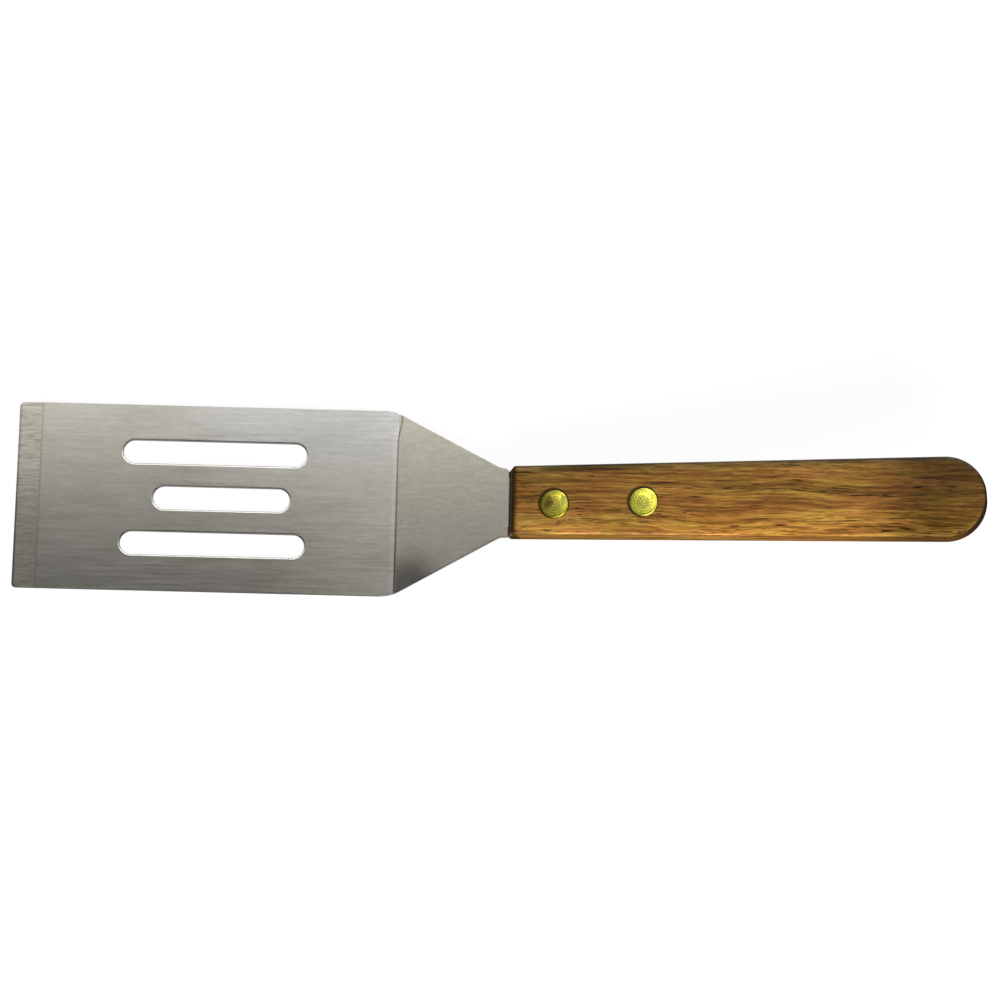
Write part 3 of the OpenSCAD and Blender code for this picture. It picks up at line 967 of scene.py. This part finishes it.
# %% [markdown]
# Four things make the grain: slow bands of gold and brown, straight dark streaks, fine fibres, and short dark
# pores. The pores come thick and thin in patches, and there are more of them at the tail.

# %% The grain of the wood
bands = stretched_noise(wood_finish, grain, (0.018, 0.30, 0.30), 3, 0.6)
streaks = stretched_noise(wood_finish, grain, (0.055, 1.25, 1.25), 3, 0.6)
fibres = stretched_noise(wood_finish, grain, (0.30, 4.2, 4.2), 2, 0.6)
pores = stretched_noise(wood_finish, grain, (0.13, 2.3, 2.3), 2, 0.55, 0.25)
thick = stretched_noise(wood_finish, bench, (0.04, 0.16, 0.16), 1)
tint = stretched_noise(wood_finish, bench, (0.05, 0.22, 0.22), 2)

body = ramp(
    wood_finish,
    mix(wood_finish, 0.62, bands, streaks),
    (0.33, (0.080, 0.032, 0.007)),
    (0.43, (0.19, 0.086, 0.016)),
    (0.51, (0.31, 0.150, 0.029)),
    (0.60, (0.42, 0.218, 0.047)),
    (0.70, (0.56, 0.320, 0.080)),
)
body = mix(wood_finish, 0.55, body, ramp(wood_finish, fibres, (0.32, 0.2), (0.68, 0.8)), "OVERLAY")
hue = smooth_step(wood_finish, tint, 0.35, 0.65, 0.49, 0.509)
body = put(wood_finish, "ShaderNodeHueSaturation", {"Hue": hue, "Color": body}).outputs[0]
more_at_tail = smooth_step(wood_finish, spot["X"], 90.0, 120.0, 0.0, 0.035)
pore_mask = ramp(wood_finish, reckon(wood_finish, "ADD", pores, more_at_tail), (0.585, 0.0), (0.65, 1.0))
patches = ramp(wood_finish, thick, (0.38, 0.25), (0.58, 1.0))
pore_mask = mix(wood_finish, 1.0, pore_mask, patches, "MULTIPLY")
body = mix(wood_finish, pore_mask, body, (0.04, 0.015, 0.005))
print("Wood nodes so far:", len(wood_finish.node_tree.nodes))

# %% [markdown]
# The wood is painted darker towards the far side, a painted shade away from the near lamp, and it is also
# darker at the tail and towards the front. The handle widens in a straight line, and half its width at each
# place tells how far a point lies from either long edge. A strip along the far edge is painted dark and grey,
# a painted shade with a painted grey reflection, and one along the near edge is painted lighter, a painted
# highlight, least of all at the tail, where a thin painted shade lies on the very edge. The near side, and
# the wood just behind the front, are painted dark as painted shade.

# %% Light and dark along the handle
# Painted shade: darker towards the far side; the tone also darkens at the tail and towards the front.
across = smooth_step(wood_finish, spot["Y"], -11.0, 10.0, 1.2, 0.74)
along_tail = smooth_step(wood_finish, spot["X"], 98.0, 126.0, 1.0, 0.4)
along_front = smooth_step(wood_finish, spot["X"], 0.0, 80.0, 0.82, 1.18)
depth_of_tone = times(wood_finish, across, times(wood_finish, along_tail, along_front))
body = mix(wood_finish, 1.0, body, depth_of_tone, "MULTIPLY")

widening = {"Value": spot["X"], "From Max": tail_x, "To Min": front_half, "To Max": tail_r}
half_width = put(wood_finish, "ShaderNodeMapRange", widening).outputs[0]
to_far_edge = reckon(wood_finish, "SUBTRACT", spot["Y"], half_width)
# Painted shade and painted grey reflection along the far edge's rounding.
far_edge_shade_depth = smooth_step(wood_finish, spot["X"], 4.0, 14.0, 1.0, 0.3)
for start, end, more in ((24.0, 55.0, 0.4), (95.0, 115.0, 0.3)):
    lighter = smooth_step(wood_finish, spot["X"], start, end, 0.0, more)
    far_edge_shade_depth = reckon(wood_finish, "ADD", far_edge_shade_depth, lighter)
painted_far_edge_shade = mix(wood_finish, far_edge_shade_depth, (0, 0, 0), (1.22, 1.45, 1.95))
body = mix(wood_finish, smooth_step(wood_finish, to_far_edge, -2.7, -1.8), body, painted_far_edge_shade, "MULTIPLY")

# Painted shade: the near side wall is painted darker and the far one grey.
on_wall = smooth_step(wood_finish, reckon(wood_finish, "ABSOLUTE", facing["Z"]), 0.25, 0.6, 1.0, 0.0)
to_far_side = smooth_step(wood_finish, facing["Y"], -0.1, 0.2)
painted_wall_shade = mix(wood_finish, to_far_side, (0.43, 0.415, 0.52), (0.85, 0.92, 1.3))
body = mix(wood_finish, on_wall, body, painted_wall_shade, "MULTIPLY")

to_near_edge = reckon(wood_finish, "ADD", spot["Y"], half_width)
# Painted highlight: a lighter strip along the near edge, least at the tail.
painted_near_edge_light = smooth_step(wood_finish, to_near_edge, 1.5, 4.5, 1.0, 0.0)
painted_near_edge_light = times(wood_finish, painted_near_edge_light, smooth_step(wood_finish, spot["X"], 55.0, 110.0, 1.0, 0.3))
body = mix(wood_finish, painted_near_edge_light, body, (1.4, 1.42, 1.3), "MULTIPLY")
# Painted shade: the very near edge is darkened towards the tail.
painted_near_edge_shade = smooth_step(wood_finish, to_near_edge, 1.4, 2.4, 1.0, 0.0)
painted_near_edge_shade = times(wood_finish, painted_near_edge_shade, smooth_step(wood_finish, spot["X"], 75.0, 105.0, 0.0, 0.15))
body = mix(wood_finish, painted_near_edge_shade, body, (0.42, 0.38, 0.35), "MULTIPLY")
# Painted shade: the rounded edge just behind the front is painted dark.
painted_front_shade = smooth_step(wood_finish, spot["X"], 2.2, 3.6, 0.3, 1.0)
body = mix(wood_finish, 1.0, body, painted_front_shade, "MULTIPLY")
print("Wood nodes so far:", len(wood_finish.node_tree.nodes))

# %% [markdown]
# End grain drinks more oil and goes dark, at the front face and all round the tail, and painted shade darkens
# it further there. The upper edge of the front is painted darkest, as painted shade. Round each rivet's
# counterbore a dark ring, a little off centre, is painted shade of the gap round its head.

# %% End grain and painted shade round the rivets
end_grain = smooth_step(wood_finish, reckon(wood_finish, "ABSOLUTE", facing["X"]), 0.3, 0.65)
at_tail = smooth_step(wood_finish, spot["X"], 40.0, 90.0)
# End grain is dark, and painted shade darkens the front's upper edge most and the tail's rim further.
up_front = smooth_step(wood_finish, spot["Z"], 3.5, 5.0)
front_grain_and_shade = mix(wood_finish, up_front, (0.21, 0.13, 0.085), (0.055, 0.032, 0.013))
end_grain_and_shade = mix(wood_finish, at_tail, front_grain_and_shade, (0.027, 0.016, 0.009))
body = mix(wood_finish, end_grain, body, end_grain_and_shade)
# Painted shade: a dark ring, a little off centre, round each rivet's counterbore.
level = reckon_vector(wood_finish, "MULTIPLY", bench, (1, 1, 0))
for x, y in rivet_spots:
    away = reckon_vector(wood_finish, "DISTANCE", level, (x - 0.38, y + 0.26, 0), "Value")
    body = mix(wood_finish, smooth_step(wood_finish, away, 4.5, 4.9, 0.85, 0.0), body, (0.03, 0.018, 0.009))
print("Wood nodes so far:", len(wood_finish.node_tree.nodes))

# %% [markdown]
# The oil shines on the flat faces, and more where the streaks are light. It has sunk into the end grain and
# the near side, and hands have dulled the near half of the handle behind its front. The pores are open,
# so they lie a little lower than the fibres.

# %% Finish the wood
rough = smooth_step(wood_finish, streaks, 0.3, 0.7, 0.46, 0.34)
near_wall = times(wood_finish, on_wall, smooth_step(wood_finish, facing["Y"], -0.3, 0.1, 1.0, 0.0))
turned_away = reckon(wood_finish, "MAXIMUM", near_wall, end_grain)
gloss = smooth_step(wood_finish, turned_away, 0.0, 1.0, 0.3, 0.0)
gloss = times(wood_finish, gloss, smooth_step(wood_finish, spot["X"], 1.5, 4.0, 0.2, 1.0))
dull_near = smooth_step(wood_finish, spot["X"], 15.0, 80.0, 0.0, 0.9)
dull_near = times(wood_finish, dull_near, smooth_step(wood_finish, spot["Y"], -7.0, 0.0, 1.0, 0.0))
gloss = times(wood_finish, gloss, reckon(wood_finish, "SUBTRACT", 1.0, dull_near))
depth = reckon(wood_finish, "MULTIPLY_ADD", fibres, 0.3, times(wood_finish, pore_mask, -1.0))
lift = raised(wood_finish, depth, 0.35, 0.08)
shader = put(
    wood_finish,
    "ShaderNodeBsdfPrincipled",
    {"Base Color": body, "Roughness": rough, "Normal": lift, "Specular IOR Level": gloss},
).outputs[0]
finish_material(wood_finish, shader)
paint(wood, wood_finish)

# %% [markdown]
# The rivets are brass that has been turned on a lathe and handled since. A wave of rings round each rivet's
# own axis lifts the surface, and noise dulls it here and there. Each rivet has its own middle,
# so the material is made once for each of the two places. The front one is duller, and darker in a wedge
# that opens towards the blade, and the rear one is brighter but for a duller disc in its middle.

# %% Turned brass
def turned_brass(name, centre, bright, dull, disc, disc_r, wedge, ring_share):
    brass = new_material(name)
    local = on_bench(brass, centre)
    flat = reckon_vector(brass, "MULTIPLY", local, (1, 1, 0))
    radius = reckon_vector(brass, "LENGTH", flat, output="Value")
    outwards = reckon_vector(brass, "NORMALIZE", flat)
    leftward = reckon_vector(brass, "DOT_PRODUCT", outwards, (-0.97, 0.24, 0), "Value")
    rings = reckon(brass, "SINE", times(brass, radius, 8.0))
    fine_rings = reckon(brass, "SINE", times(brass, radius, 19.0))
    stain = put(brass, "ShaderNodeTexNoise", {"Vector": local, "Scale": 0.7, "Detail": 3.0}).outputs["Fac"]
    shade = ramp(brass, stain, (0.40, dull), (0.58, bright))
    shade = mix(brass, smooth_step(brass, radius, disc_r - 0.5, disc_r + 0.3, 0.85, 0.0), shade, disc)
    # Darker in a wedge that opens towards the blade.
    dark_wedge = smooth_step(brass, leftward, 0.45, 0.9)
    dark_wedge = times(brass, dark_wedge, smooth_step(brass, radius, 2.6, 3.7, wedge, 0.0))
    shade = mix(brass, dark_wedge, shade, (0.20, 0.135, 0.03))
    ring_tone = ramp(brass, smooth_step(brass, rings, -1.0, 1.0), (0, 0.3), (1, 0.7))
    shade = mix(brass, ring_share, shade, ring_tone, "OVERLAY")
    rough = smooth_step(brass, stain, 0.35, 0.65, 0.46, 0.32)
    lift = raised(brass, reckon(brass, "MULTIPLY_ADD", fine_rings, 0.2, rings), 0.2, 0.03)
    look = {"Base Color": shade, "Metallic": 1.0, "Roughness": rough, "Normal": lift}
    finish_material(brass, put(brass, "ShaderNodeBsdfPrincipled", look).outputs[0])
    return brass


centres = [on_slope(shoulder_l + x, y, 0) for x, y in rivet_spots]
front_brass = turned_brass(
    "front_brass",
    centres[0],
    bright=(0.60, 0.54, 0.05),
    dull=(0.38, 0.36, 0.06),
    disc=(0.40, 0.34, 0.06),
    disc_r=2.4,
    wedge=0.9,
    ring_share=0.15,
)
rear_brass = turned_brass(
    "rear_brass",
    centres[1],
    bright=(0.86, 0.82, 0.10),
    dull=(0.68, 0.65, 0.09),
    disc=(0.46, 0.45, 0.08),
    disc_r=2.1,
    wedge=0.0,
    ring_share=0.18,
)
for piece, (spot, side, node) in rivet_places.items():
    paint(piece, (front_brass, rear_brass)[spot])

# %% [markdown]
# Every piece rides on the body that carries it and stands for the solid that it dresses, which is hidden.
# Each piece joins the groups of lamps that light it, and the scene is done.

# %% Hand the pieces over
dressed = {steel: ("blade", "steel"), wood: ("handle", "wood")}
for piece, (spot, side, node) in rivet_places.items():
    dressed[piece] = (node, "brass")
for piece, (node, finish) in dressed.items():
    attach(piece, "root")
    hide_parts(node)
    (on_steel if piece is steel else on_rest).objects.link(piece)
    if finish == "brass":
        on_brass.objects.link(piece)
    print(piece.name, "stands for", node, "with", len(piece.data.polygons), "faces")

bpy.context.view_layer.update()
